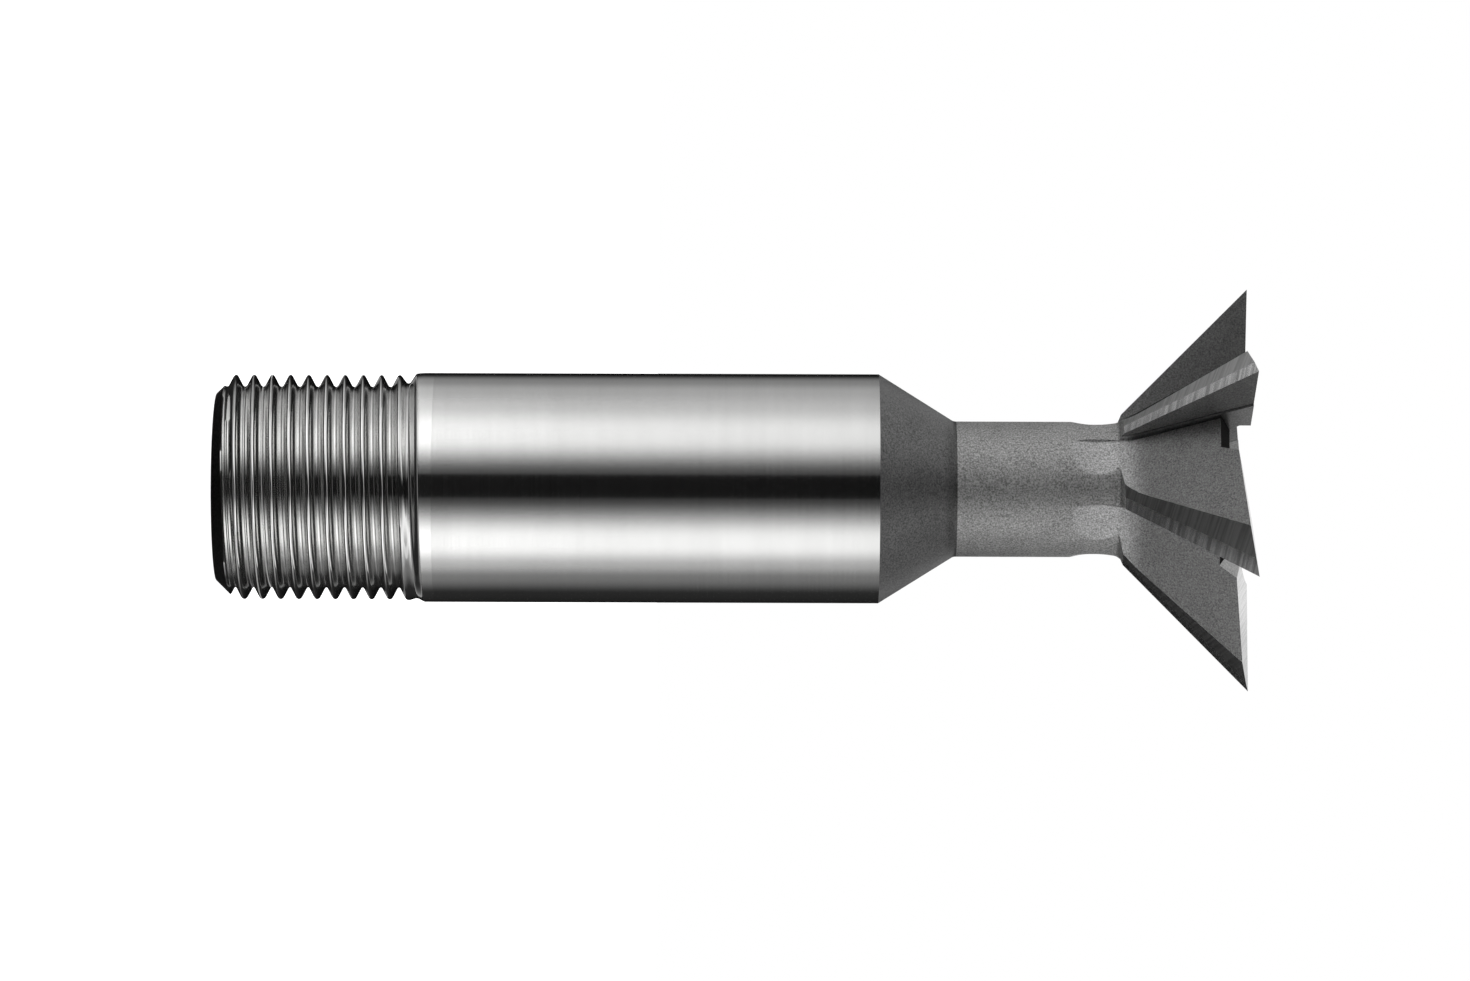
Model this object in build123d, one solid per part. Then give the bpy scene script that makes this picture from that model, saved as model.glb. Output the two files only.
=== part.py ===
from build123d import *
from math import atan2, ceil, cos, degrees, radians, sin, sqrt, tan
import os

# Inverse dovetail cutter, ground from one bar of high-speed steel.
# It stands on its threaded shank end: origin at the centre of that end face, +Z along the axis
# towards the teeth. Lengths in millimetres, angles in degrees.

# Shank and threaded end
shank_diameter = 16.0
overall_length = 72.0
thread_diameter = 15.68
thread_length = 14.3
thread_chamfer = 1.3

# Thread, right-handed, 20 to the inch, with flats at crest and root. The middle of its groove
# leaves the end face at the start angle
thread_pitch = 1.27
thread_depth = 0.82
thread_angle = 55.0
thread_root_flat = 0.21
thread_start_angle = -11.0
thread_clearance = 0.18
thread_run_out = 1.4
thread_run_out_rise = 0.45

# Centre hole for grinding between centres, one in each end
centre_hole_diameter = 5.3
centre_pilot_diameter = 2.5
centre_pilot_length = 2.6
centre_hole_angle = 60.0
pilot_tip_angle = 118.0

# Neck between shank and head
neck_diameter = 9.45
cone_angle = 32.0
cone_neck_radius = 0.6
neck_length = 11.45
shoulder_length = 0.45
shoulder_radius = 0.3

# Head: six teeth on a 45 degree cone, largest at the end
cutter_diameter = 28.2
tooth_count = 6
edge_length_axial = 8.7
edge_small_radius = 5.53
head_length = 8.65
blank_allowance = 0.3

# Straight gashes that leave the rake faces
rake_offset = 1.61
gash_end_distance = 9.25
gash_slope_angle = 28.9
gash_floor_distance = 4.3
gash_included_angle = 85.1
gash_corner_radius = 0.3
gash_blend_radius = 6.5
gash_floor_end = 10.8
gash_exit_radius = 4.5

# Relief ground behind each cutting edge, as fall below the square to the rake face
primary_angle = 22.0
primary_width_tip = 1.16
primary_width_small = 0.81
secondary_angle = 32.6

# End teeth: dished edges, relief, recess and the short gash into it
dish_angle = 1.0
end_relief_angle = 11.0
recess_diameter = 13.4
recess_wall = 0.9
recess_depth = 2.1
end_gash_depth = 2.0
end_gash_width = 2.16
end_gash_wall_angle = 45.0

# How far cutting tools run past what they cut, and how far neighbouring grinds overlap
run_past = 1.0
grind_overlap = 0.3
grind_gap = 0.1

# Radii and stations along the axis that follow from the sizes above
shank_radius = shank_diameter / 2
thread_radius = thread_diameter / 2
neck_radius = neck_diameter / 2
cutter_radius = cutter_diameter / 2
recess_radius = recess_diameter / 2
tooth_pitch = 360 / tooth_count

end_z = overall_length
shoulder_top_z = end_z - head_length
neck_top_z = shoulder_top_z - shoulder_length
neck_bottom_z = neck_top_z - neck_length
cone_bottom_z = neck_bottom_z - (shank_radius - neck_radius) / tan(radians(cone_angle))
thread_step = shank_radius - thread_radius
thread_root_radius = thread_radius - thread_depth

# The cutting edge of a tooth in its own frame: X outward along the rake face, Y forward
tip_x = sqrt(cutter_radius**2 - rake_offset**2)
edge_small_x = sqrt(edge_small_radius**2 - rake_offset**2)
tip = Vector(tip_x, -rake_offset, end_z)
edge_small = Vector(edge_small_x, -rake_offset, end_z - edge_length_axial)
rake_angle = degrees(atan2(rake_offset, tip_x))


def thread_groove():
    """One turn of the thread's groove, straight-sided in section and wound up a helix."""
    half_root = thread_root_flat / 2
    half_mouth = half_root + (thread_depth + thread_clearance) * tan(radians(thread_angle / 2))
    mouth_radius = thread_radius + thread_clearance
    corners = [
        (thread_root_radius, -half_root),
        (thread_root_radius, half_root),
        (mouth_radius, half_mouth),
        (mouth_radius, -half_mouth),
    ]
    rails = [
        Pos(0, 0, height) * Wire([Edge.make_helix(thread_pitch, thread_pitch, radius)])
        for radius, height in corners
    ]
    faces = []
    for rail, next_rail in zip(rails, rails[1:] + rails[:1]):
        faces += Shell.make_loft([rail, next_rail], ruled=True).faces()
    for end in (0, 1):
        faces.append(Face(Wire.make_polygon([rail.position_at(end) for rail in rails])))
    return Rot(0, 0, thread_start_angle) * Solid(Shell(faces))


def screwed_end():
    """The turned end with its chamfer and the thread cut into it, turn by turn."""
    outline = Polyline(
        (0, 0),
        (thread_radius - thread_chamfer, 0),
        (thread_radius, thread_chamfer),
        (thread_radius, thread_length),
        (0, thread_length),
        close=True,
    )
    turns = range(-1, ceil(thread_length / thread_pitch))
    grooves = [Pos(0, 0, turn * thread_pitch) * thread_groove() for turn in turns]
    return revolve(Plane.XZ * make_face(outline), Axis.Z) - grooves


def turned_blank():
    """The bar turned to outline, with a little left on the head for grinding. It starts inside
    the thread, whose grooves run out on a cone before they end at the plain shank."""
    head_fall = (tip_x - edge_small_x) / edge_length_axial
    blank_end_radius = cutter_radius + blank_allowance * (1 + head_fall)
    blank_small_radius = cutter_radius + blank_allowance - head_fall * head_length
    cone_top = (neck_radius, neck_bottom_z)
    neck_top = (neck_radius, neck_top_z)
    core_z = thread_length - 2 * thread_run_out
    outline = Polyline(
        (0, core_z),
        (thread_root_radius - thread_run_out_rise, core_z),
        (thread_root_radius + thread_run_out_rise, thread_length - 2 * thread_step),
        (shank_radius, thread_length),
        (shank_radius, cone_bottom_z),
        cone_top,
        neck_top,
        (blank_small_radius, shoulder_top_z),
        (blank_end_radius, end_z + blank_allowance),
        (0, end_z + blank_allowance),
        close=True,
    )
    profile = make_face(outline)
    profile = fillet(profile.vertices().sort_by_distance(cone_top)[0], cone_neck_radius)
    profile = fillet(profile.vertices().sort_by_distance(neck_top)[0], shoulder_radius)
    return revolve(Plane.XZ * profile, Axis.Z)


def centre_hole():
    """A centre drilled up from the origin: a 60 degree seat, then a pilot with a drill point."""
    mouth_radius = centre_hole_diameter / 2
    pilot_radius = centre_pilot_diameter / 2
    seat_depth = (mouth_radius - pilot_radius) / tan(radians(centre_hole_angle / 2))
    pilot_depth = seat_depth + centre_pilot_length
    point_depth = pilot_depth + pilot_radius / tan(radians(pilot_tip_angle / 2))
    outline = Polyline(
        (0, -run_past),
        (mouth_radius, -run_past),
        (mouth_radius, 0),
        (pilot_radius, seat_depth),
        (pilot_radius, pilot_depth),
        (0, point_depth),
        close=True,
    )
    return revolve(Plane.XZ * make_face(outline), Axis.Z)


def end_recess():
    """The hollow in the middle of the end teeth, with its own centre hole."""
    floor_radius = recess_radius - (recess_depth - recess_wall)
    floor_z = end_z - recess_depth
    outline = Polyline(
        (0, floor_z),
        (floor_radius, floor_z),
        (recess_radius, end_z - recess_wall),
        (recess_radius, end_z + run_past),
        (0, end_z + run_past),
        close=True,
    )
    hollow = revolve(Plane.XZ * make_face(outline), Axis.Z)
    return hollow + Pos(0, 0, floor_z) * Rot(180, 0, 0) * centre_hole()


def gash():
    """The wheel's path in front of one rake face: down the tooth, along the neck and out."""
    slope = radians(gash_slope_angle)
    line_top = (gash_end_distance + run_past * tan(slope), end_z + run_past)
    bend = (gash_floor_distance, end_z - (gash_end_distance - gash_floor_distance) / tan(slope))
    tangent = gash_blend_radius * tan(slope / 2)
    blend_start = (bend[0] + tangent * sin(slope), bend[1] + tangent * cos(slope))
    floor_end = (gash_floor_distance, end_z - gash_floor_end)
    exit_rise = neck_radius - gash_floor_distance + gash_corner_radius
    exit_run = sqrt(2 * gash_exit_radius * exit_rise - exit_rise**2)
    exit_point = (gash_floor_distance + exit_rise, floor_end[1] - exit_run)
    outside = cutter_radius + run_past
    path = [
        Line(line_top, blend_start),
        TangentArc(blend_start, (bend[0], bend[1] - tangent), tangent=(-sin(slope), -cos(slope))),
        Line((bend[0], bend[1] - tangent), floor_end),
        TangentArc(floor_end, exit_point, tangent=(0, -1)),
        Polyline(exit_point, (outside, exit_point[1]), (outside, line_top[1]), line_top),
    ]
    rake_plane = Plane(origin=(0, -rake_offset, 0), x_dir=(1, 0, 0), z_dir=(0, -1, 0))
    profile = rake_plane * make_face(path)
    lean = radians(gash_included_angle)
    sweep = extrude(profile, cutter_radius + run_past, dir=(cos(lean), sin(lean), 0))
    rake_side = sweep.faces().sort_by(Axis.Y)[0]
    corner = [edge for edge in rake_side.edges() if edge.center().X < line_top[0]]
    return fillet(corner, gash_corner_radius)


def above(origin, along, across, outward):
    """Everything on the outward side of the plane through origin, along and across."""
    normal = along.cross(across).normalized()
    if normal.dot(outward) < 0:
        normal = normal * -1
    size = 4 * cutter_radius
    return Plane(origin=origin, x_dir=along, z_dir=normal) * Box(
        size, size, size, align=(Align.CENTER, Align.CENTER, Align.MIN)
    )


def tooth_grinds():
    """Primary and secondary relief on the cone and relief on the end, for one tooth."""
    first = radians(primary_angle)
    second = radians(secondary_angle)
    first_fall = Vector(-sin(first), -cos(first), 0)
    second_fall = Vector(-sin(second), -cos(second), 0)
    heel_tip = tip + first_fall * primary_width_tip
    heel_small = edge_small + first_fall * primary_width_small
    outward = Vector(1, 0, 0)
    primary = above(tip, tip - edge_small, first_fall, outward)
    secondary = above(heel_tip, heel_tip - heel_small, second_fall, outward)

    dish = radians(dish_angle)
    relief = radians(end_relief_angle)
    end_edge = Vector(cos(dish), 0, sin(dish))
    end_fall = Vector(0, -cos(relief), -sin(relief))
    end_relief = above(tip, end_edge, end_fall, Vector(0, 0, 1))

    # From this rake face back to just in front of the rake face of the tooth behind
    reach = 2 * cutter_radius
    pitch = radians(tooth_pitch)
    front_y = -rake_offset + grind_overlap
    back_offset = -rake_offset + grind_gap
    corner_x = (back_offset - front_y * cos(pitch)) / sin(pitch)
    corner = Vector(corner_x, front_y)
    forward_side = Vector(reach, 0)
    rear_side = Vector(reach * cos(pitch), -reach * sin(pitch))
    sector = make_face(
        Polyline(
            corner,
            corner + forward_side,
            corner + forward_side + rear_side,
            corner + rear_side,
            close=True,
        )
    )
    height = end_z + run_past - neck_top_z
    return (Pos(0, 0, neck_top_z) * extrude(sector, height)) & (primary + secondary + end_relief)


def end_gash():
    """The short cut that carries a rake face across the end into the recess."""
    floor_z = end_z - end_gash_depth
    wall_run = (end_gash_depth + run_past) * tan(radians(end_gash_wall_angle))
    outline = Polyline(
        (-rake_offset, floor_z),
        (-rake_offset + end_gash_width, floor_z),
        (-rake_offset + end_gash_width + wall_run, end_z + run_past),
        (-rake_offset, end_z + run_past),
        close=True,
    )
    start = recess_radius - recess_depth
    profile = Plane(origin=(start, 0, 0), x_dir=(0, 1, 0), z_dir=(1, 0, 0)) * make_face(outline)
    return extrude(profile, cutter_radius - start)


def around(cutter):
    """One copy of a tooth's cutter for every tooth, tips at 0, 60, 120 degrees and so on."""
    turns = [rake_angle + tooth * tooth_pitch for tooth in range(tooth_count)]
    return [Rot(0, 0, turn) * cutter for turn in turns]


def dovetail_cutter():
    """The whole tool, one solid."""
    body = turned_blank() + screwed_end()
    body = body - centre_hole()
    body = body - around(gash())
    body = body - around(tooth_grinds())
    body = body - end_recess()
    return body - around(end_gash())


os.makedirs("parts", exist_ok=True)
export_step(dovetail_cutter(), "parts/dovetail_cutter.step")
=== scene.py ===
from math import atan2, cos, degrees, pi, radians, sin, sqrt, tan

import bmesh
import bpy
from mathutils import Matrix, Vector


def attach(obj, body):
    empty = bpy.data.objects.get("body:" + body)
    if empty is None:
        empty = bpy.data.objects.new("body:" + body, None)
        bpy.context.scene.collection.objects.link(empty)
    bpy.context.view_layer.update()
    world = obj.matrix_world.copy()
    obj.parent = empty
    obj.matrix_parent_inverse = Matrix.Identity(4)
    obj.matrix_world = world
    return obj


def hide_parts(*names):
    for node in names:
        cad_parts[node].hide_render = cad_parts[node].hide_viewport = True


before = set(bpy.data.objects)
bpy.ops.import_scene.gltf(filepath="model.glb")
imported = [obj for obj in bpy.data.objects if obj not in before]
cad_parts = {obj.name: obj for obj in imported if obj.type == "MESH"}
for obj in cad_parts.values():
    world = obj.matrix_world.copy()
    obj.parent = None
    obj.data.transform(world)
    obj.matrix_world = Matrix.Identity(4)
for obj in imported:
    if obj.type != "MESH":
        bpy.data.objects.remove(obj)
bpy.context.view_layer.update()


# Photographer's place
# The tool was photographed lying on its side, square to its axis, with a long lens from about half a
# metre. Here it stands on its screwed end, so the camera is level with its middle and on its side.

MM = 0.001
MICRON = 0.001 * MM
camera_angle = radians(-84.8)
camera_distance = 531 * MM
camera_lens = 186.1
camera_film_width = 36
camera_sees_from = 0.01
camera_sees_to = 20
camera_roll = radians(0.184)
aim_height = 36.2 * MM
aim_below_axis = 0.13 * MM

towards_camera = Vector((cos(camera_angle), sin(camera_angle), 0))
picture_up = Vector((sin(camera_angle), -cos(camera_angle), 0))
tool_axis = Vector((0, 0, 1))


def placed(name, data):
    """A new object in the scene."""
    made = bpy.data.objects.new(name, data)
    bpy.context.scene.collection.objects.link(made)
    return made


camera_data = bpy.data.cameras.new("long_lens")
camera_data.lens = camera_lens
camera_data.sensor_width = camera_film_width
camera_data.clip_start = camera_sees_from
camera_data.clip_end = camera_sees_to
camera = placed("photographers_camera", camera_data)
bpy.context.scene.camera = camera
camera_right = tool_axis * cos(camera_roll) + picture_up * sin(camera_roll)
camera_up = picture_up * cos(camera_roll) - tool_axis * sin(camera_roll)
aim = tool_axis * aim_height - picture_up * aim_below_axis
camera_axes = Matrix((camera_right, camera_up, towards_camera)).transposed().to_4x4()
camera.matrix_world = Matrix.Translation(aim + towards_camera * camera_distance) @ camera_axes


# Steel of the shank
# One bar of high-speed steel, hardened, and ground bright on its outside between centres.
# The wheel leaves fine rings round the bar that are seen only as a slight grain.

# Noise scales are per metre along each axis, and most of the noise lies between its low and high values
noise_low = 0.3
noise_high = 0.7
noise_roughness = 0.6
speck_scale = (9000, 9000, 9000)
cloud_scale = (500, 500, 500)
ring_scale = (60, 60, 9000)
drift_scale = (120, 120, 700)
mark_length_scale = 150
cloud_share = 0.35
mark_contrast_from = 0.38
mark_contrast_to = 0.62
ring_depth = 0.12 * MICRON
ring_drift_shade = 0.95
blue_in_steel = 0.99


def grey(shade, blue_share=1):
    """An opaque grey, a little warm where its blue share is below 1."""
    return (shade, shade, shade * blue_share, 1)


def empty_material(name):
    """A material with only its output, its node tree, and the input for its surface."""
    material = bpy.data.materials.new(name)
    material.use_nodes = True
    material.node_tree.nodes.clear()
    output = material.node_tree.nodes.new("ShaderNodeOutputMaterial")
    return material, material.node_tree, output.inputs["Surface"]


def steel_material(name, roughness):
    """A metal surface whose colour is still to be wired."""
    material, tree, surface = empty_material(name)
    shader = tree.nodes.new("ShaderNodeBsdfPrincipled")
    shader.inputs["Metallic"].default_value = 1
    shader.inputs["Roughness"].default_value = roughness
    tree.links.new(shader.outputs["BSDF"], surface)
    return material, tree, shader


def stretched_noise(tree, coordinates, scale, detail):
    """Noise on object or map coordinates, stretched by a different scale on each axis."""
    place = tree.nodes.new("ShaderNodeMapping")
    place.inputs["Scale"].default_value = scale
    noise = tree.nodes.new("ShaderNodeTexNoise")
    noise.inputs["Scale"].default_value = 1
    noise.inputs["Detail"].default_value = detail
    noise.inputs["Roughness"].default_value = noise_roughness
    tree.links.new(coordinates, place.inputs["Vector"])
    tree.links.new(place.outputs["Vector"], noise.inputs["Vector"])
    return noise.outputs["Fac"]


def set_or_link(tree, socket, value):
    """Gives an input a plain value, or links it to the output of another node."""
    if isinstance(value, bpy.types.NodeSocket):
        tree.links.new(value, socket)
    else:
        socket.default_value = value


def maths(tree, operation, *values):
    """The result of a math node on numbers and outputs of other nodes."""
    node = tree.nodes.new("ShaderNodeMath")
    node.operation = operation
    for socket, value in zip(node.inputs, values):
        set_or_link(tree, socket, value)
    return node.outputs[0]


def between(tree, value, low, high, from_low=noise_low, from_high=noise_high):
    """The value carried over from one range to another, held at the ends."""
    node = tree.nodes.new("ShaderNodeMapRange")
    node.inputs["From Min"].default_value = from_low
    node.inputs["From Max"].default_value = from_high
    node.inputs["To Min"].default_value = low
    node.inputs["To Max"].default_value = high
    tree.links.new(value, node.inputs["Value"])
    return node.outputs["Result"]


def tinted(tree, value, first, second, blend="MIX"):
    """A colour from the first to the second, by a value from 0 to 1."""
    mix = tree.nodes.new("ShaderNodeMix")
    mix.data_type = "RGBA"
    mix.blend_type = blend
    set_or_link(tree, mix.inputs["Factor"], value)
    set_or_link(tree, mix.inputs["A"], first)
    set_or_link(tree, mix.inputs["B"], second)
    return mix.outputs["Result"]


def bumped(tree, shader, height, depth):
    """Relief of the given depth in metres on the shader's surface."""
    bump = tree.nodes.new("ShaderNodeBump")
    bump.inputs["Strength"].default_value = 1
    bump.inputs["Distance"].default_value = depth
    tree.links.new(height, bump.inputs["Height"])
    tree.links.new(bump.outputs["Normal"], shader.inputs["Normal"])


def object_place(tree):
    """Places on the object, in metres, for noise that stays with the steel."""
    return tree.nodes.new("ShaderNodeTexCoord").outputs["Object"]


def height_share(tree, low, high):
    """How far up a point is between two heights of the tool, from 0 to 1."""
    place = tree.nodes.new("ShaderNodeSeparateXYZ")
    tree.links.new(object_place(tree), place.inputs[0])
    return between(tree, place.outputs["Z"], 0, 1, low, high)


def speckled_steel(name, dark, light, roughness, depth, fade=None):
    """Steel with the fine even speckle of a blasted or tempered surface, about a tenth of a millimetre
    wide. A fade of (dark, light, height, height) paints light or shade by height: other colours below,
    blended between heights."""
    material, tree, shader = steel_material(name, roughness)
    specks = stretched_noise(tree, object_place(tree), speck_scale, detail=2)
    clouds = stretched_noise(tree, object_place(tree), cloud_scale, detail=2)
    speckle = between(tree, specks, -cloud_share / 2, 1 - cloud_share / 2)
    lightness = maths(tree, "MULTIPLY_ADD", clouds, cloud_share, speckle)
    colour = tinted(tree, lightness, grey(dark), grey(light, blue_in_steel))
    if fade:
        low_dark, low_light, fade_from, fade_to = fade
        below = tinted(tree, lightness, grey(low_dark), grey(low_light))
        colour = tinted(tree, height_share(tree, fade_from, fade_to), below, colour)
    tree.links.new(colour, shader.inputs["Base Color"])
    bumped(tree, shader, specks, depth)
    return material


def marked_steel(name, dark, light, roughness, marks_per_mm, depth):
    """Ground steel with fine marks across the cutting edge, on the coordinates of its own tooth."""
    material, tree, shader = steel_material(name, roughness)
    place = tree.nodes.new("ShaderNodeAttribute")
    place.attribute_name = "grind"
    mark_scale = (marks_per_mm / MM, mark_length_scale, mark_length_scale)
    marks = stretched_noise(tree, place.outputs["Vector"], mark_scale, detail=1)
    lightness = between(tree, marks, 0, 1, mark_contrast_from, mark_contrast_to)
    tree.links.new(tinted(tree, lightness, grey(dark), grey(light)), shader.inputs["Base Color"])
    bumped(tree, shader, marks, depth)
    return material


def ground_round_steel(name, shades, smooth, rough):
    """Bright steel ground between centres, with fine rings round the axis. Its painted light and shade
    along the tool are (height, shade) stops, and its roughness drifts between the two values."""
    material, tree, shader = steel_material(name, rough)
    rings = stretched_noise(tree, object_place(tree), ring_scale, detail=4)
    broad = stretched_noise(tree, object_place(tree), drift_scale, detail=2)
    tree.links.new(between(tree, rings, smooth, rough), shader.inputs["Roughness"])
    lowest, highest = shades[0][0], shades[-1][0]
    # The ramp paints light and shade along the tool by height
    drift = tree.nodes.new("ShaderNodeValToRGB")
    stops = drift.color_ramp.elements
    stops.remove(stops[1])
    for at, shade in shades:
        stop = stops[0] if at == lowest else stops.new((at - lowest) / (highest - lowest))
        stop.color = grey(shade, blue_in_steel)
    stops[0].position = 0
    tree.links.new(height_share(tree, lowest, highest), drift.inputs["Fac"])
    patches = tinted(tree, between(tree, broad, 0, 1), grey(ring_drift_shade), grey(1))
    colour = tinted(tree, 1, drift.outputs["Color"], patches, blend="MULTIPLY")
    tree.links.new(colour, shader.inputs["Base Color"])
    bumped(tree, shader, rings, ring_depth)
    return material


# Painted shade along the shank: darker towards the screwed end, and a little towards the cone.
shank_painted_shades = [(15 * MM, 0.54), (31 * MM, 0.635), (43 * MM, 0.635), (46.2 * MM, 0.6)]
# Painted light on the thread: lighter towards its foot.
thread_painted_light = [(0, 0.9), (5 * MM, 0.72), (10 * MM, 0.64)]
ground_steel_painted_shade = ground_round_steel("ground_shank_steel_painted_shade", shank_painted_shades, smooth=0.1, rough=0.15)
thread_steel_painted_light = ground_round_steel("thread_steel_painted_light", thread_painted_light, smooth=0.08, rough=0.13)


# Screwed end
# Twenty threads to the inch on a 16 mm shank, cut right-handed with a rounded 55 degree form.
# The first turn starts in the 45 degree end chamfer and the last one lifts out into the plain shank.

thread_pitch = 1.27 * MM
thread_turns = 12
thread_crest_radius = 7.84 * MM
thread_depth = 0.82 * MM
thread_flank_angle = radians(27.5)
thread_flank_slope = 1 / tan(thread_flank_angle)
thread_rounding = 0.2 * MM
groove_start_turn = 11 / 360
groove_full_to = 12.8 * MM
groove_gone_by = 14.6 * MM
end_face_radius = 6.54 * MM
shank_radius = 8 * MM
thread_weld = 2 * MICRON
chamfer_tolerance = 0.03 * MM
steps_round = 192
rows_per_thread = 16


def thread_tree():
    """Geometry Nodes that bend a grid round the axis, with its rows along the helix."""
    group = bpy.data.node_groups.new("screw_thread", "GeometryNodeTree")
    face = group.interface
    sizes = [
        "Pitch", "Turns", "Crest Radius", "Depth", "Flank Slope", "Rounding", "Start Turn",
        "Full To", "Gone By", "End Face Radius", "Shank Radius", "Weld Distance",
    ]
    for size in sizes:
        face.new_socket(size, in_out="INPUT", socket_type="NodeSocketFloat")
    for count in ("Steps Round", "Rows Per Thread"):
        face.new_socket(count, in_out="INPUT", socket_type="NodeSocketInt")
    face.new_socket("Steel", in_out="INPUT", socket_type="NodeSocketMaterial")
    face.new_socket("Thread", in_out="OUTPUT", socket_type="NodeSocketGeometry")
    nodes, links = group.nodes, group.links
    given = nodes.new("NodeGroupInput").outputs

    def math(operation, *values):
        """The result of a math node in this group."""
        return maths(group, operation, *values)

    # The grid has one more column than steps, and one more turn of rows than the thread is long
    row_turns = math("ADD", given["Turns"], 1)
    grid = nodes.new("GeometryNodeMeshGrid")
    grid.inputs["Size X"].default_value = 1
    grid.inputs["Size Y"].default_value = 1
    links.new(math("ADD", given["Steps Round"], 1), grid.inputs["Vertices X"])
    rows = math("MULTIPLY", row_turns, given["Rows Per Thread"])
    links.new(math("ADD", rows, 1), grid.inputs["Vertices Y"])
    place = nodes.new("ShaderNodeSeparateXYZ")
    links.new(nodes.new("GeometryNodeInputPosition").outputs[0], place.inputs[0])
    round_part = math("ADD", place.outputs["X"], 0.5)
    along_part = math("ADD", place.outputs["Y"], 0.5)

    # Height follows the helix and stops at both ends of the screwed length
    turns_up = math("ADD", math("SUBTRACT", math("MULTIPLY", along_part, row_turns), 1), round_part)
    held = math("MINIMUM", math("MAXIMUM", turns_up, 0), given["Turns"])
    height = math("MULTIPLY", held, given["Pitch"])

    # Distance from the middle of the groove, then flanks rounded into crest and root. The whole turns
    # that are added only keep the count above 0.
    whole_turns = 100
    turns_from_start = math("SUBTRACT", math("SUBTRACT", held, round_part), given["Start Turn"])
    groove_turns = math("ADD", turns_from_start, whole_turns)
    from_groove = math("PINGPONG", groove_turns, 0.5)
    quarter = math("SUBTRACT", math("MULTIPLY", given["Pitch"], 0.25),
                   math("MULTIPLY", from_groove, given["Pitch"]))
    flank = math("MULTIPLY", quarter, given["Flank Slope"])
    half_depth = math("MULTIPLY", given["Depth"], 0.5)
    rooted = math("SMOOTH_MIN", flank, half_depth, given["Rounding"])
    crested = math("SMOOTH_MAX", rooted, math("MULTIPLY", half_depth, -1), given["Rounding"])
    fall = math("ADD", crested, half_depth)

    def run_out(turns):
        """The share that is left of the cut at a height counted in turns."""
        left = nodes.new("ShaderNodeMapRange")
        left.interpolation_type = "SMOOTHSTEP"
        links.new(math("MULTIPLY", turns, given["Pitch"]), left.inputs["Value"])
        links.new(given["Full To"], left.inputs["From Min"])
        links.new(given["Gone By"], left.inputs["From Max"])
        left.inputs["To Min"].default_value = 1
        left.inputs["To Max"].default_value = 0
        return left.outputs["Result"]

    # As the tool lifts out, a groove keeps one depth across its width and the crests widen
    groove_height = math("ADD", math("SUBTRACT", held, groove_turns), math("ROUND", groove_turns))
    cut = math("MULTIPLY", fall, run_out(groove_height))
    turned_down = math("SUBTRACT", given["Shank Radius"], given["Crest Radius"])
    outside = math("SUBTRACT", given["Shank Radius"], math("MULTIPLY", turned_down, run_out(held)))
    threaded = math("SUBTRACT", outside, cut)
    chamfer = math("ADD", given["End Face Radius"], height)
    radius = math("MINIMUM", threaded, chamfer)

    angle = math("MULTIPLY", round_part, 2 * pi)
    bent = nodes.new("ShaderNodeCombineXYZ")
    links.new(math("MULTIPLY", radius, math("COSINE", angle)), bent.inputs["X"])
    links.new(math("MULTIPLY", radius, math("SINE", angle)), bent.inputs["Y"])
    links.new(height, bent.inputs["Z"])
    move = nodes.new("GeometryNodeSetPosition")
    links.new(grid.outputs["Mesh"], move.inputs["Geometry"])
    links.new(bent.outputs["Vector"], move.inputs["Position"])
    weld = nodes.new("GeometryNodeMergeByDistance")
    links.new(given["Weld Distance"], weld.inputs["Distance"])
    links.new(move.outputs["Geometry"], weld.inputs["Geometry"])
    real = nodes.new("GeometryNodeRealizeInstances")
    links.new(weld.outputs["Geometry"], real.inputs["Geometry"])
    steel = nodes.new("GeometryNodeSetMaterial")
    links.new(real.outputs["Geometry"], steel.inputs["Geometry"])
    links.new(given["Steel"], steel.inputs["Material"])
    links.new(steel.outputs["Geometry"], nodes.new("NodeGroupOutput").inputs["Thread"])
    return group


def made_by(group, name, values):
    """The plain mesh that a Geometry Nodes group gives for these input values."""
    maker = placed(name, bpy.data.meshes.new(name))
    modifier = maker.modifiers.new("maker", "NODES")
    modifier.node_group = group
    inputs = [item for item in group.interface.items_tree if item.in_out == "INPUT"]
    keys = {item.name: item.identifier for item in inputs}
    for label, value in values.items():
        modifier[keys[label]] = value
    bpy.context.view_layer.update()
    ready = maker.evaluated_get(bpy.context.evaluated_depsgraph_get())
    mesh = bpy.data.meshes.new_from_object(ready)
    mesh.name = name
    maker.modifiers.remove(modifier)
    bpy.data.objects.remove(maker)
    return mesh


turned_steel = speckled_steel("turned_end_steel", dark=0.16, light=0.3, roughness=0.42, depth=2 * MICRON)
screwed_end = made_by(thread_tree(), "screwed_end", {
    "Pitch": thread_pitch,
    "Turns": float(thread_turns),
    "Crest Radius": thread_crest_radius,
    "Depth": thread_depth,
    "Flank Slope": thread_flank_slope,
    "Rounding": thread_rounding,
    "Start Turn": groove_start_turn,
    "Full To": groove_full_to,
    "Gone By": groove_gone_by,
    "End Face Radius": end_face_radius,
    "Shank Radius": shank_radius,
    "Weld Distance": thread_weld,
    "Steps Round": steps_round,
    "Rows Per Thread": rows_per_thread,
    "Steel": thread_steel_painted_light,
})
screwed_length = thread_turns * thread_pitch
screwed_end.materials.clear()
screwed_end.materials.append(thread_steel_painted_light)
screwed_end.materials.append(turned_steel)
for face in screwed_end.polygons:
    from_chamfer = abs(face.center.xy.length - face.center.z - end_face_radius)
    face.material_index = 1 if from_chamfer < chamfer_tolerance else 0


# Shank, cone and neck
# Turned on the same bar: plain shank, a cone down to the neck, and a centre hole in the end face
# on which the tool was held between centres for grinding. Cone and neck keep a dull finish.

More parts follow.
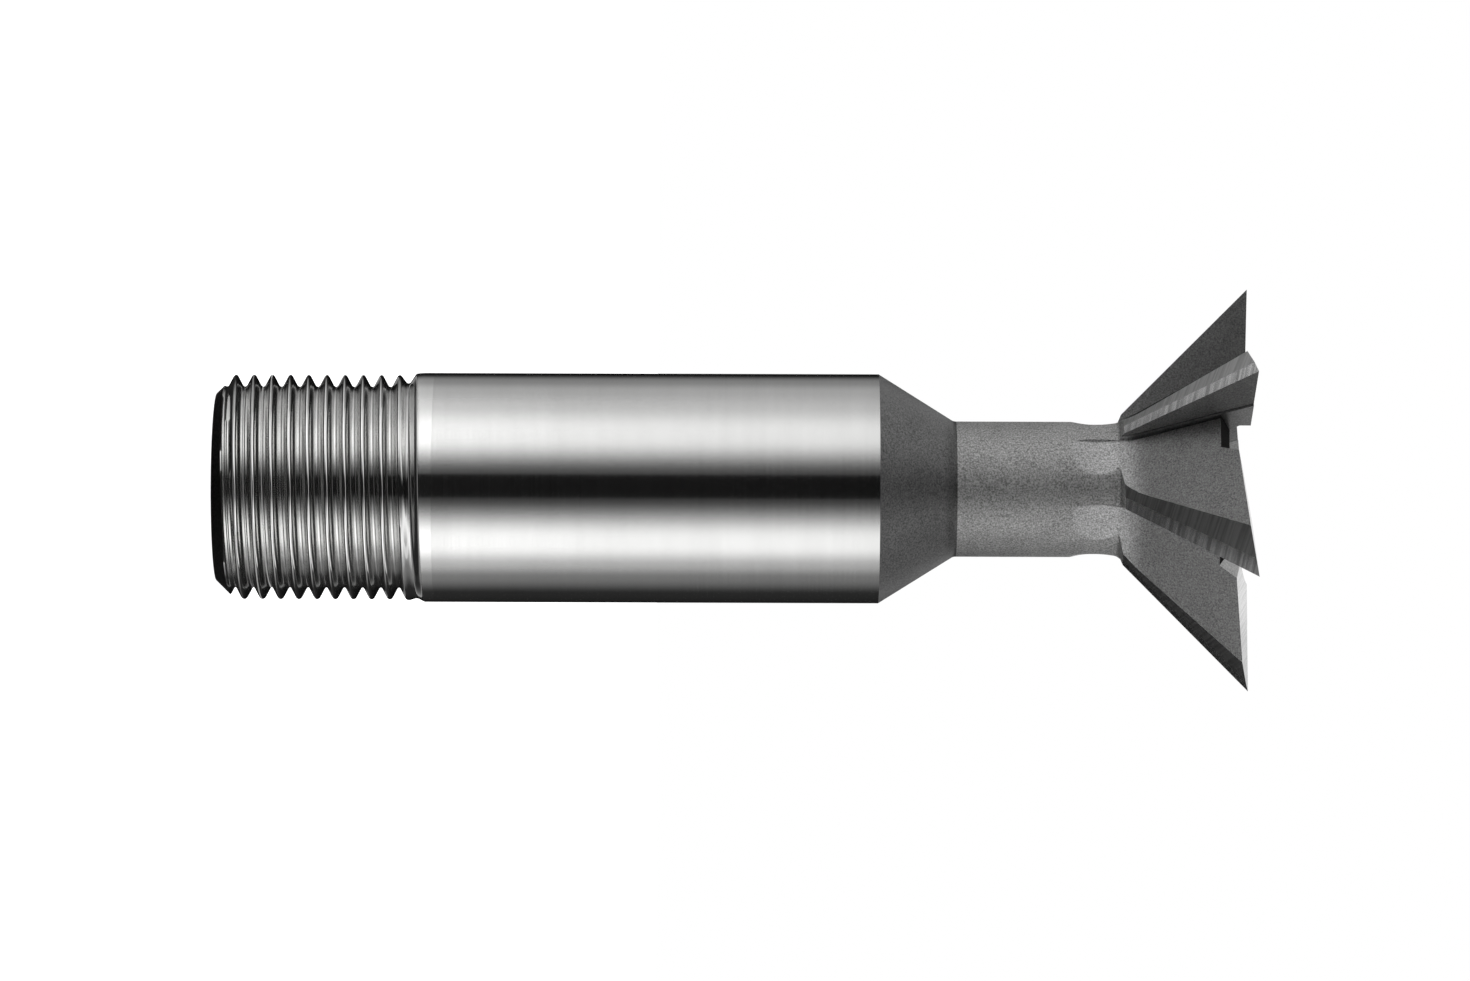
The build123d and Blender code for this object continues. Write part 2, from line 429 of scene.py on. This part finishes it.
cone_angle = radians(32)
neck_radius = 4.725 * MM
cone_neck_radius = 0.6 * MM
neck_bottom = 51.45 * MM
neck_top = 62.9 * MM
cone_bottom = neck_bottom - (shank_radius - neck_radius) / tan(cone_angle)
head_blank_from = 56 * MM
centre_mouth_radius = 2.65 * MM
centre_pilot_radius = 1.25 * MM
centre_seat_angle = radians(60)
centre_pilot_length = 2.6 * MM
pilot_tip_angle = radians(118)
shank_rows = 8
hollow_steps = 6
seat_depth = (centre_mouth_radius - centre_pilot_radius) / tan(centre_seat_angle / 2)
pilot_depth = seat_depth + centre_pilot_length
point_depth = pilot_depth + centre_pilot_radius / tan(pilot_tip_angle / 2)

neck_steel = speckled_steel("blasted_neck_steel", dark=0.14, light=0.48, roughness=0.62, depth=5 * MICRON)
# The cone's colours are painted shade, much darker than the neck's, and darker still above 50.6 to 51.2
# mm, where the cone runs into the neck.
cone_steel_painted_shade = speckled_steel("blasted_cone_steel", dark=0.045, light=0.12, roughness=0.5, depth=4 * MICRON,
                            fade=(0.06, 0.175, 50.6 * MM, 51.2 * MM))


def arc_points(centre, radius, start, end, count):
    """Points along an arc in the plane of an outline, from one angle to another in degrees."""
    turn = [radians(start + (end - start) * step / count) for step in range(count + 1)]
    return [(centre[0] + radius * cos(angle), centre[1] + radius * sin(angle)) for angle in turn]


def mesh_from(name, bm, *materials):
    """The mesh that was being built, with its materials."""
    mesh = bpy.data.meshes.new(name)
    bm.to_mesh(mesh)
    bm.free()
    for material in materials:
        mesh.materials.append(material)
    return mesh


def turned(name, outline, material, cap=False):
    """A mesh of revolution about the tool's axis from (radius, height) pairs, outside to the right."""
    bm = bmesh.new()
    rings = []
    for radius, height in outline:
        if radius == 0:
            rings.append([bm.verts.new((0, 0, height))])
            continue
        angles = [2 * pi * step / steps_round for step in range(steps_round)]
        rings.append([bm.verts.new((radius * cos(a), radius * sin(a), height)) for a in angles])
    for lower, upper in zip(rings, rings[1:]):
        for step in range(steps_round):
            after = (step + 1) % steps_round
            corners = [lower[step % len(lower)], lower[after % len(lower)],
                       upper[after % len(upper)], upper[step % len(upper)]]
            bm.faces.new(list(dict.fromkeys(corners)))
    if cap:
        bm.faces.new(list(reversed(rings[0])))
    return mesh_from(name, bm, material)


centre_hole_outline = [
    (0, point_depth),
    (centre_pilot_radius, pilot_depth),
    (centre_pilot_radius, seat_depth),
    (centre_mouth_radius, 0),
    (end_face_radius, 0),
]
plain_length = cone_bottom - screwed_length
shank_stations = [screwed_length + plain_length * row / shank_rows for row in range(shank_rows + 1)]
shank_outline = [(shank_radius, height) for height in shank_stations]
# The cone runs into the neck through a small hollow radius
hollow_tangent = cone_neck_radius * tan(cone_angle / 2)
hollow_centre = (neck_radius + cone_neck_radius, neck_bottom + hollow_tangent)
hollow = arc_points(hollow_centre, cone_neck_radius, 180 + degrees(cone_angle), 180, hollow_steps)
cone_outline = [(shank_radius, cone_bottom)] + hollow
neck_outline = [hollow[-1], (neck_radius, head_blank_from)]

end_face_mesh = turned("end_face", centre_hole_outline, turned_steel)
shank_mesh = turned("plain_shank", shank_outline, ground_steel_painted_shade)
cone_mesh = turned("cone", cone_outline, cone_steel_painted_shade)
neck_mesh = turned("neck", neck_outline, neck_steel)


# Head blank
# The head is turned as a short cone, widest at the end, behind a small round shoulder on the neck.
# It is left a little large, because every surface of the teeth is ground afterwards.

overall_length = 72 * MM
cutter_radius = 14.1 * MM
tooth_count = 6
edge_length_axial = 8.7 * MM
edge_small_radius = 5.53 * MM
head_length = 8.65 * MM
shoulder_radius = 0.3 * MM
shoulder_steps = 6
blank_allowance = 0.3 * MM
rake_offset = 1.61 * MM
tip_x = sqrt(cutter_radius**2 - rake_offset**2)
edge_small_x = sqrt(edge_small_radius**2 - rake_offset**2)
tip = Vector((tip_x, -rake_offset, overall_length))
edge_small = Vector((edge_small_x, -rake_offset, overall_length - edge_length_axial))
rake_angle = atan2(rake_offset, tip_x)
head_fall = (tip_x - edge_small_x) / edge_length_axial
blank_end_radius = cutter_radius + blank_allowance * (1 + head_fall)
blank_small_radius = cutter_radius + blank_allowance - head_fall * head_length
shoulder_run = blank_small_radius - neck_radius
shoulder_rise = overall_length - head_length - neck_top
shoulder_turn = atan2(shoulder_run, shoulder_rise)
shoulder_tangent = shoulder_radius * tan(shoulder_turn / 2)
shoulder_centre = (neck_radius + shoulder_radius, neck_top - shoulder_tangent)
shoulder_end = 180 - degrees(shoulder_turn)
shoulder = arc_points(shoulder_centre, shoulder_radius, 180, shoulder_end, shoulder_steps)
head_outline = (
    [(neck_radius, head_blank_from)]
    + shoulder
    + [
        (blank_small_radius, overall_length - head_length),
        (blank_end_radius, overall_length + blank_allowance),
        (0, overall_length + blank_allowance),
    ]
)
head = placed("head_blank", turned("head_blank", head_outline, neck_steel, cap=True))


# Gashes, teeth and end
# A shaped wheel cuts six straight gashes that leave a rake face and the back of the next tooth. Each
# tooth then gets a narrow and a wide relief on the cone and one on its end, and a short end gash in
# front of it, whose floor climbs into the end recess.

gash_end_distance = 9.25 * MM
gash_slope = radians(28.9)
gash_floor_distance = 4.3 * MM
gash_lean = radians(85.1)
gash_corner_radius = 0.3 * MM
gash_corner_steps = 6
gash_blend_radius = 6.5 * MM
gash_blend_steps = 8
gash_floor_end = 10.8 * MM
gash_exit_radius = 4.5 * MM
gash_exit_steps = 12
primary_angle = radians(22)
primary_width_tip = 1.16 * MM
primary_width_small = 0.81 * MM
secondary_angle = radians(32.6)
dish_angle = radians(1)
end_relief_angle = radians(11)
recess_radius = 6.7 * MM
recess_wall = 0.9 * MM
recess_depth = 2.1 * MM
end_gash_depth = 2.27 * MM
end_gash_depth_at = 8 * MM
end_gash_floor_slope = radians(19)
end_gash_width = 2.75 * MM
end_gash_wall_angle = radians(27)
end_gash_stand_off = 0.09 * MM
run_past = 1 * MM
grind_overlap = 0.3 * MM
grind_gap = 0.1 * MM
# A cutting face is taken to face one way if this much of its normal points there
facing_squarely = 0.99
facing_mostly = 0.9

# Painted shade on the rake faces, darker than their ground steel, with painted light lower down: lighter
# below 62.4 mm, blending to the darker colours by 71 mm.
rake_steel = speckled_steel("rake_face_steel_painted_light_and_shade", dark=0.08, light=0.19, roughness=0.62, depth=2 * MICRON,
                            fade=(0.15, 0.38, 62.4 * MM, 71 * MM))
# Painted shade on the backs of the teeth: darker than the neck, and lighter below 62.2 to 65 mm, where the
# gash runs out on the neck.
back_steel_painted_shade = speckled_steel("tooth_back_steel", dark=0.09, light=0.25, roughness=0.45, depth=4 * MICRON,
                            fade=(0.13, 0.44, 62.2 * MM, 65 * MM))
# Painted shade in the corner between each rake face and the back of the next tooth: nearly black on the
# head, lighter below 62 to 64 mm on the neck.
corner_steel_painted_shade = speckled_steel("gash_corner_steel", dark=0.02, light=0.05, roughness=0.5, depth=2 * MICRON,
                              fade=(0.13, 0.44, 62 * MM, 64 * MM))
# The end recess is nearly black: partly the unground oxide in it, partly painted shade.
recess_steel_oxide_and_shade = speckled_steel("end_recess_steel", dark=0.025, light=0.05, roughness=0.55,
                              depth=2 * MICRON)
end_gash_steel = speckled_steel("end_gash_steel", dark=0.17, light=0.38, roughness=0.4, depth=2 * MICRON)
end_rake_steel = speckled_steel("end_gash_rake_steel", dark=0.11, light=0.24, roughness=0.36,
                                depth=1 * MICRON)
primary_steel = marked_steel("primary_relief_steel", dark=0.4, light=0.78, roughness=0.22,
                             marks_per_mm=2.6, depth=5 * MICRON)
secondary_steel = marked_steel("secondary_relief_steel", dark=0.33, light=0.47, roughness=0.3,
                               marks_per_mm=5, depth=2 * MICRON)
end_steel = marked_steel("end_relief_steel", dark=0.5, light=0.65, roughness=0.25,
                         marks_per_mm=7, depth=1 * MICRON)

# The floor of the end gash is painted nearly black as shade, and it is dull and not metallic
end_floor_painted_shade = speckled_steel("end_gash_floor_painted_shade", dark=0.005, light=0.015, roughness=0.6,
                                 depth=2 * MICRON)
floor_shader = end_floor_painted_shade.node_tree.nodes["Principled BSDF"]
floor_shader.inputs["Metallic"].default_value = 0
floor_shader.inputs["Specular IOR Level"].default_value = 0


def cutter_object(name, bm, material):
    """A closed cutting shape as an object, its faces turned outwards."""
    bmesh.ops.recalc_face_normals(bm, faces=bm.faces)
    return placed(name, mesh_from(name, bm, material))


def prism(rows):
    """A closed mesh through like rows of points, with a cap at each end."""
    bm = bmesh.new()
    made = [[bm.verts.new(point) for point in row] for row in rows]
    for row, after in zip(made, made[1:]):
        for step in range(len(row)):
            turn = (step + 1) % len(row)
            bm.faces.new((row[step], row[turn], after[turn], after[step]))
    bm.faces.new(made[0])
    bm.faces.new(made[-1])
    return bm


def gash_shape():
    """The wheel's path in front of one rake face: down the tooth, along the neck and out."""
    bend = (gash_floor_distance,
            overall_length - (gash_end_distance - gash_floor_distance) / tan(gash_slope))
    tangent = gash_blend_radius * tan(gash_slope / 2)
    blend_centre = (bend[0] + gash_blend_radius, bend[1] - tangent)
    blend_start = 180 - degrees(gash_slope)
    blend = arc_points(blend_centre, gash_blend_radius, blend_start, 180, gash_blend_steps)
    exit_rise = neck_radius - gash_floor_distance + gash_corner_radius
    exit_centre = (gash_floor_distance + gash_exit_radius, overall_length - gash_floor_end)
    exit_turn = degrees(atan2(sqrt(2 * gash_exit_radius * exit_rise - exit_rise**2),
                              gash_exit_radius - exit_rise))
    leave = arc_points(exit_centre, gash_exit_radius, 180, 180 + exit_turn, gash_exit_steps)
    top = (gash_end_distance + run_past * tan(gash_slope), overall_length + run_past)
    path = [top] + blend + leave
    outside = cutter_radius + run_past
    lean = Vector((cos(gash_lean), sin(gash_lean), 0))
    corner_turn = 180 - degrees(gash_lean)
    corner_tangent = gash_corner_radius * tan(radians(corner_turn / 2))
    rows = []
    for x, z in path:
        foot = Vector((x, -rake_offset, z))
        centre = (x + corner_tangent, -rake_offset + gash_corner_radius)
        arc = arc_points(centre, gash_corner_radius, -90, -90 - corner_turn, gash_corner_steps)
        rows.append([Vector((outside, -rake_offset, z))]
                    + [Vector((px, py, z)) for px, py in arc]
                    + [foot + lean * outside, Vector((outside, 0, z)) + lean * outside])
    return prism(rows)


gash_cutter = cutter_object("gash_wheel_path", gash_shape(), back_steel_painted_shade)
gash_cutter.data.materials.append(rake_steel)
gash_cutter.data.materials.append(corner_steel_painted_shade)
# From each row to the next, the first face lies along the rake face and the next ones along the corner
sides_round_the_gash = gash_corner_steps + 4
# The corner faces take the painted shade of the corner
for face in gash_cutter.data.polygons:
    if face.normal.y < -facing_squarely:
        face.material_index = 1
    elif len(face.vertices) == 4 and 1 <= face.index % sides_round_the_gash <= gash_corner_steps:
        face.material_index = 2


def grinding_sector():
    """The room over one tooth, from its rake face back to the rake face of the tooth behind."""
    reach = 2 * cutter_radius
    pitch = 2 * pi / tooth_count
    front_y = -rake_offset + grind_overlap
    back_offset = -rake_offset + grind_gap
    corner = Vector(((back_offset - front_y * cos(pitch)) / sin(pitch), front_y, 0))
    forward_side = Vector((reach, 0, 0))
    rear_side = Vector((reach * cos(pitch), -reach * sin(pitch), 0))
    plan = [corner, corner + forward_side, corner + forward_side + rear_side, corner + rear_side]
    heights = (neck_top, overall_length + run_past)
    return prism([[point + tool_axis * height for point in plan] for height in heights])


def ground_flat(name, origin, along, across, outward, material):
    """The part of a tooth's room on the outward side of the plane that the wheel grinds."""
    normal = along.cross(across).normalized()
    if normal.dot(outward) < 0:
        normal = -normal
    bm = grinding_sector()
    everything = bm.verts[:] + bm.edges[:] + bm.faces[:]
    cut = bmesh.ops.bisect_plane(bm, geom=everything, plane_co=origin, plane_no=-normal,
                                 clear_outer=True)
    rim = [item for item in cut["geom_cut"] if isinstance(item, bmesh.types.BMEdge)]
    bmesh.ops.contextual_create(bm, geom=rim)
    return cutter_object(name, bm, material)


primary_fall = Vector((-sin(primary_angle), -cos(primary_angle), 0))
secondary_fall = Vector((-sin(secondary_angle), -cos(secondary_angle), 0))
heel_tip = tip + primary_fall * primary_width_tip
heel_small = edge_small + primary_fall * primary_width_small
end_edge = Vector((cos(dish_angle), 0, sin(dish_angle)))
end_fall = Vector((0, -cos(end_relief_angle), -sin(end_relief_angle)))
outward = Vector((1, 0, 0))
relief_cutters = [
    ground_flat("primary_relief", tip, tip - edge_small, primary_fall, outward, primary_steel),
    ground_flat("secondary_relief", heel_tip, heel_tip - heel_small, secondary_fall, outward,
                secondary_steel),
    ground_flat("end_relief", tip, end_edge, end_fall, tool_axis, end_steel),
]

recess_floor_radius = recess_radius - (recess_depth - recess_wall)
recess_floor = overall_length - recess_depth
recess_outline = [
    (0, recess_floor - point_depth),
    (centre_pilot_radius, recess_floor - pilot_depth),
    (centre_pilot_radius, recess_floor - seat_depth),
    (centre_mouth_radius, recess_floor),
    (recess_floor_radius, recess_floor),
    (recess_radius, overall_length - recess_wall),
    (recess_radius, overall_length + run_past),
    (0, overall_length + run_past),
]
recess_cutter = placed("end_recess", turned("end_recess", recess_outline, recess_steel_oxide_and_shade))

end_gash_top = overall_length + run_past
end_gash_sections = []
for x in (recess_radius - recess_depth, cutter_radius):
    floor_fall = (x - end_gash_depth_at) * tan(end_gash_floor_slope)
    floor_height = overall_length - end_gash_depth - floor_fall
    near_y = -rake_offset + end_gash_stand_off
    far_y = -rake_offset + end_gash_width - floor_fall * tan(end_gash_wall_angle)
    wall_run = (end_gash_top - floor_height) * tan(end_gash_wall_angle)
    end_gash_sections.append([
        Vector((x, near_y, floor_height)),
        Vector((x, far_y, floor_height)),
        Vector((x, far_y + wall_run, end_gash_top)),
        Vector((x, near_y, end_gash_top)),
    ])
end_gash_cutter = cutter_object("end_gash_wheel", prism(end_gash_sections), end_gash_steel)
end_gash_cutter.data.materials.append(end_rake_steel)
end_gash_cutter.data.materials.append(end_floor_painted_shade)
# The cutter's downward faces leave the floor of the end gash, which takes the painted shade
for face in end_gash_cutter.data.polygons:
    if face.normal.y < -facing_squarely:
        face.material_index = 1
    elif face.normal.z < -facing_mostly:
        face.material_index = 2


def cut_away(body, shape, turn=0):
    """Takes a cutting shape, turned round the axis, out of the body."""
    shape.matrix_world = Matrix.Rotation(turn, 4, "Z")
    bpy.context.view_layer.update()
    modifier = body.modifiers.new("cut", "BOOLEAN")
    modifier.operation = "DIFFERENCE"
    modifier.solver = "EXACT"
    modifier.material_mode = "TRANSFER"
    modifier.object = shape
    ready = body.evaluated_get(bpy.context.evaluated_depsgraph_get())
    mesh = bpy.data.meshes.new_from_object(ready)
    body.modifiers.remove(modifier)
    body.data = mesh


tooth_turns = [rake_angle + 2 * pi * tooth / tooth_count for tooth in range(tooth_count)]
for turn in tooth_turns:
    cut_away(head, gash_cutter, turn)
for turn in tooth_turns:
    for relief in relief_cutters:
        cut_away(head, relief, turn)
cut_away(head, recess_cutter)
for turn in tooth_turns:
    cut_away(head, end_gash_cutter, turn)
for shape in [gash_cutter, recess_cutter, end_gash_cutter] + relief_cutters:
    bpy.data.objects.remove(shape)


# One piece of steel
# The real tool is one bar from end to end, so the ground head, neck, shank and thread are one mesh.
# Faces turn smoothly into each other where the steel is round, and stay sharp at the cutting edges.

weld_distance = 1 * MICRON
smoothing_angle = radians(28)
flat_face_weight = 100


def joined(name, meshes):
    """One mesh from several that share rings of points, merged there, without the head blank's cap."""
    bm = bmesh.new()
    materials = []
    for mesh in meshes:
        first = len(bm.faces)
        bm.from_mesh(mesh)
        bm.faces.ensure_lookup_table()
        for steel in mesh.materials:
            if steel not in materials:
                materials.append(steel)
        for face in bm.faces[first:]:
            face.material_index = materials.index(mesh.materials[face.material_index])
    cap = [face for face in bm.faces
           if all(abs(vert.co.z - head_blank_from) < weld_distance for vert in face.verts)]
    bmesh.ops.delete(bm, geom=cap, context="FACES")
    bmesh.ops.remove_doubles(bm, verts=bm.verts, dist=weld_distance)
    return mesh_from(name, bm, *materials)


parts_in_order = [end_face_mesh, screwed_end, shank_mesh, cone_mesh, neck_mesh, head.data]
steel_mesh = joined("dovetail_cutter_steel", parts_in_order)
bpy.data.objects.remove(head)
cutter = placed("dovetail_cutter_steel", steel_mesh)

# Each ground land carries its own tooth's coordinates: along the cutting edge, back from it, and out
grind = steel_mesh.attributes.new("grind", "FLOAT_VECTOR", "CORNER")
edge_along = (tip - edge_small).normalized()
lands = {steel_mesh.materials.find(steel.name): normal for steel, normal in (
    (primary_steel, edge_along.cross(primary_fall).normalized()),
    (secondary_steel, (heel_tip - heel_small).cross(secondary_fall).normalized()),
    (end_steel, end_edge.cross(end_fall).normalized()),
)}
turns_back = [Matrix.Rotation(-turn, 3, "Z") for turn in tooth_turns]
for face in steel_mesh.polygons:
    if face.material_index not in lands:
        continue
    normal = lands[face.material_index]
    likeness = [abs((turn_back @ face.normal).dot(normal)) for turn_back in turns_back]
    to_tooth = turns_back[likeness.index(max(likeness))]
    for corner in face.loop_indices:
        point = to_tooth @ steel_mesh.vertices[steel_mesh.loops[corner].vertex_index].co - tip
        grind.data[corner].vector = (point.dot(edge_along), -point.y, point.dot(normal))
steel_mesh.shade_smooth()
steel_mesh.set_sharp_from_angle(angle=smoothing_angle)

# The wide flat faces keep their own direction, so only the small radii between them shade round
flats = cutter.modifiers.new("flats_stay_flat", "WEIGHTED_NORMAL")
flats.mode = "FACE_AREA"
flats.weight = flat_face_weight
flats.keep_sharp = True
bpy.context.view_layer.update()
ready = cutter.evaluated_get(bpy.context.evaluated_depsgraph_get())
finished_mesh = bpy.data.meshes.new_from_object(ready)
cutter.modifiers.remove(flats)
cutter.data = finished_mesh
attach(cutter, "root")
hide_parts("dovetail_cutter")


# Studio
# A plain white room: white floor and background, and soft light from both sides. Close round the tool
# are dark flags with feathered edges and two faint glows, which only shiny steel sees and which draw
# the dark and light lines along it.

floor_size = 3
floor_drop = 0.02 * MM
floor_shade = 0.8
floor_glow_in_steel = 0.5
floor_glow_added_for_camera = 0.4
room_light = 0.6
flag_height = 0.02 * MM
card_foot = 0.5 * MM
card_step = 3
ring_step = 5

floor_paint, tree, surface = empty_material("white_floor_paint")
paint = tree.nodes.new("ShaderNodeBsdfDiffuse")
paint.inputs["Color"].default_value = grey(floor_shade)
glow = tree.nodes.new("ShaderNodeEmission")
rays = tree.nodes.new("ShaderNodeLightPath").outputs
seen = maths(tree, "MAXIMUM", rays["Is Camera Ray"], rays["Is Glossy Ray"])
level = maths(tree, "MULTIPLY_ADD", rays["Is Camera Ray"], floor_glow_added_for_camera,
              maths(tree, "MULTIPLY", seen, floor_glow_in_steel))
tree.links.new(level, glow.inputs["Strength"])
both = tree.nodes.new("ShaderNodeAddShader")
tree.links.new(paint.outputs[0], both.inputs[0])
tree.links.new(glow.outputs[0], both.inputs[1])
tree.links.new(both.outputs[0], surface)

floor_bm = bmesh.new()
bmesh.ops.create_grid(floor_bm, x_segments=2, y_segments=2, size=floor_size)
floor = placed("studio_floor", mesh_from("studio_floor", floor_bm, floor_paint))
floor.location = (0, 0, -floor_drop)

room = bpy.data.worlds.new("white_room")
bpy.context.scene.world = room
room.use_nodes = True
tree = room.node_tree
tree.nodes.clear()
output = tree.nodes.new("ShaderNodeOutputWorld")
rays = tree.nodes.new("ShaderNodeLightPath").outputs
seen = maths(tree, "MAXIMUM", rays["Is Camera Ray"], rays["Is Glossy Ray"])
seen_white = maths(tree, "MAXIMUM", seen, rays["Is Transmission Ray"])
lit = tree.nodes.new("ShaderNodeBackground")
lit.inputs["Strength"].default_value = room_light
white = tree.nodes.new("ShaderNodeBackground")
white.inputs["Strength"].default_value = 1
for background in (lit, white):
    background.inputs["Color"].default_value = grey(1)
mix = tree.nodes.new("ShaderNodeMixShader")
tree.links.new(seen_white, mix.inputs["Fac"])
tree.links.new(lit.outputs[0], mix.inputs[1])
tree.links.new(white.outputs[0], mix.inputs[2])
tree.links.new(mix.outputs[0], output.inputs["Surface"])


def card_material(name, dark):
    """A card's surface by its weight attribute: a dark one is black where the weight is 1 and clear
    where it is 0, and any other glows with that strength."""
    material, tree, surface = empty_material(name)
    weight = tree.nodes.new("ShaderNodeAttribute")
    weight.attribute_name = "weight"
    clear = tree.nodes.new("ShaderNodeBsdfTransparent")
    card = tree.nodes.new("ShaderNodeEmission")
    if dark:
        card.inputs["Strength"].default_value = 0
        mix = tree.nodes.new("ShaderNodeMixShader")
        tree.links.new(weight.outputs["Fac"], mix.inputs["Fac"])
        tree.links.new(clear.outputs[0], mix.inputs[1])
        tree.links.new(card.outputs[0], mix.inputs[2])
    else:
        tree.links.new(weight.outputs["Fac"], card.inputs["Strength"])
        mix = tree.nodes.new("ShaderNodeAddShader")
        tree.links.new(clear.outputs[0], mix.inputs[0])
        tree.links.new(card.outputs[0], mix.inputs[1])
    tree.links.new(mix.outputs[0], surface)
    return material


def reflection_only(name, mesh):
    """A stage object that only shiny surfaces see."""
    card = placed(name, mesh)
    card.visible_camera = False
    card.visible_diffuse = False
    card.visible_shadow = False
    card.visible_transmission = False
    return card


def arc_card(name, stops, distance, heights, dark):
    """A card bent round the tool. Its stops are (angle above the camera's direction, weight)."""
    bm = bmesh.new()
    layer = bm.verts.layers.float.new("weight")
    columns = []
    for (angle, weight), (next_angle, next_weight) in zip(stops, stops[1:]):
        steps = max(1, int(abs(next_angle - angle) / card_step))
        for step in range(steps):
            share = step / steps
            smooth = share * share * (3 - 2 * share)
            columns.append((angle + (next_angle - angle) * share,
                            weight + (next_weight - weight) * smooth))
    columns.append(stops[-1])
    made = []
    for angle, weight in columns:
        turn = radians(angle)
        foot = (towards_camera * cos(turn) + picture_up * sin(turn)) * distance
        pair = [bm.verts.new(foot + tool_axis * height) for height in heights]
        for vert in pair:
            vert[layer] = weight
        made.append(pair)
    for (low, high), (next_low, next_high) in zip(made, made[1:]):
        bm.faces.new((low, high, next_high, next_low))
    return reflection_only(name, mesh_from(name, bm, card_material(name, dark)))


tall = (card_foot, 300 * MM)
into_head = (card_foot, 66 * MM)
level_with_shank = (card_foot, 63 * MM)
above_teeth = (78 * MM, 140 * MM)
camera_stops = [(-46, 0), (-10, 0.94), (-8.8, 0.99), (11.8, 0.99), (13.2, 0.91), (46, 0)]
lower_stops = [(-180, 1), (-125, 0.97), (-95, 0.74), (-79, 0.4), (-58, 0)]
high_stops = [(-170, 0.2), (-130, 0.5), (-80, 0.5), (-50, 0)]
upper_stops = [(180, 1), (150, 0.99), (128, 0.68), (108, 0.43), (85, 0.26), (56, 0)]
upper_glow_stops = [(20, 0), (58, 0.24), (96, 0)]
lower_glow_stops = [(-22, 0), (-54, 0.42), (-86, 0)]
camera_flag = arc_card("camera_flag", camera_stops, distance=58 * MM, heights=tall, dark=True)
lower_flag = arc_card("lower_flag", lower_stops, distance=60 * MM, heights=level_with_shank, dark=True)
high_flag = arc_card("high_flag", high_stops, distance=60 * MM, heights=above_teeth, dark=True)
upper_flag = arc_card("upper_flag", upper_stops, distance=61 * MM, heights=into_head, dark=True)
upper_glow = arc_card("upper_glow", upper_glow_stops, distance=63 * MM, heights=tall, dark=False)
lower_glow = arc_card("lower_glow", lower_glow_stops, distance=63 * MM, heights=tall, dark=False)

# Angles from the line of sight between which the round flag takes its weight to the sides
sides_begin = 14
sides_full_from = 40
sides_full_to = 95
sides_end = 120


def side_share(angle):
    """How much of its weight to the sides the round flag has at an angle from the line of sight."""
    begun = (abs(angle) - sides_begin) / (sides_full_from - sides_begin)
    left = (sides_end - abs(angle)) / (sides_end - sides_full_to)
    return min(max(begun, 0), 1) * min(max(left, 0), 1)


def round_flag(name, stops, height):
    """A flat dark ring round the foot of the tool, lighter on both sides of the line of sight. Its stops
    are (radius, weight along the line of sight, weight to the sides)."""
    bm = bmesh.new()
    layer = bm.verts.layers.float.new("weight")
    made = []
    for radius, ahead, aside in stops:
        ring = []
        for angle in range(-180, 180, ring_step):
            direction = towards_camera * cos(radians(angle)) + picture_up * sin(radians(angle))
            vert = bm.verts.new(direction * radius + tool_axis * height)
            vert[layer] = ahead + (aside - ahead) * side_share(angle)
            ring.append(vert)
        made.append(ring)
    for inner, outer in zip(made, made[1:]):
        for step in range(len(inner)):
            after = (step + 1) % len(inner)
            bm.faces.new((inner[step], inner[after], outer[after], outer[step]))
    return reflection_only(name, mesh_from(name, bm, card_material(name, dark=True)))


floor_stops = [
    (4 * MM, 0.99, 0.985),
    (21 * MM, 0.99, 0.975),
    (32 * MM, 0.96, 0.72),
    (45 * MM, 0.85, 0.8),
    (75 * MM, 0.4, 0.4),
    (120 * MM, 0, 0),
]
floor_flag = round_flag("floor_flag", floor_stops, flag_height)


def soft_lamp(name, direction, distance, size, power):
    """A square soft light that points at the middle of the tool."""
    data = bpy.data.lights.new(name, "AREA")
    data.shape = "SQUARE"
    data.size = size
    data.energy = power
    lamp = placed(name, data)
    middle = tool_axis * overall_length / 2
    lamp.location = middle + direction.normalized() * distance
    lamp.rotation_euler = (middle - lamp.location).to_track_quat("-Z", "Y").to_euler()
    lamp.visible_glossy = False
    return lamp


soft_lamp("key_lamp", Vector((-0.8, -0.7, 0.9)), distance=0.7, size=0.5, power=3)
soft_lamp("fill_lamp", Vector((0.9, -0.5, 0.6)), distance=0.7, size=0.5, power=2)

bpy.context.scene.view_settings.view_transform = "Standard"
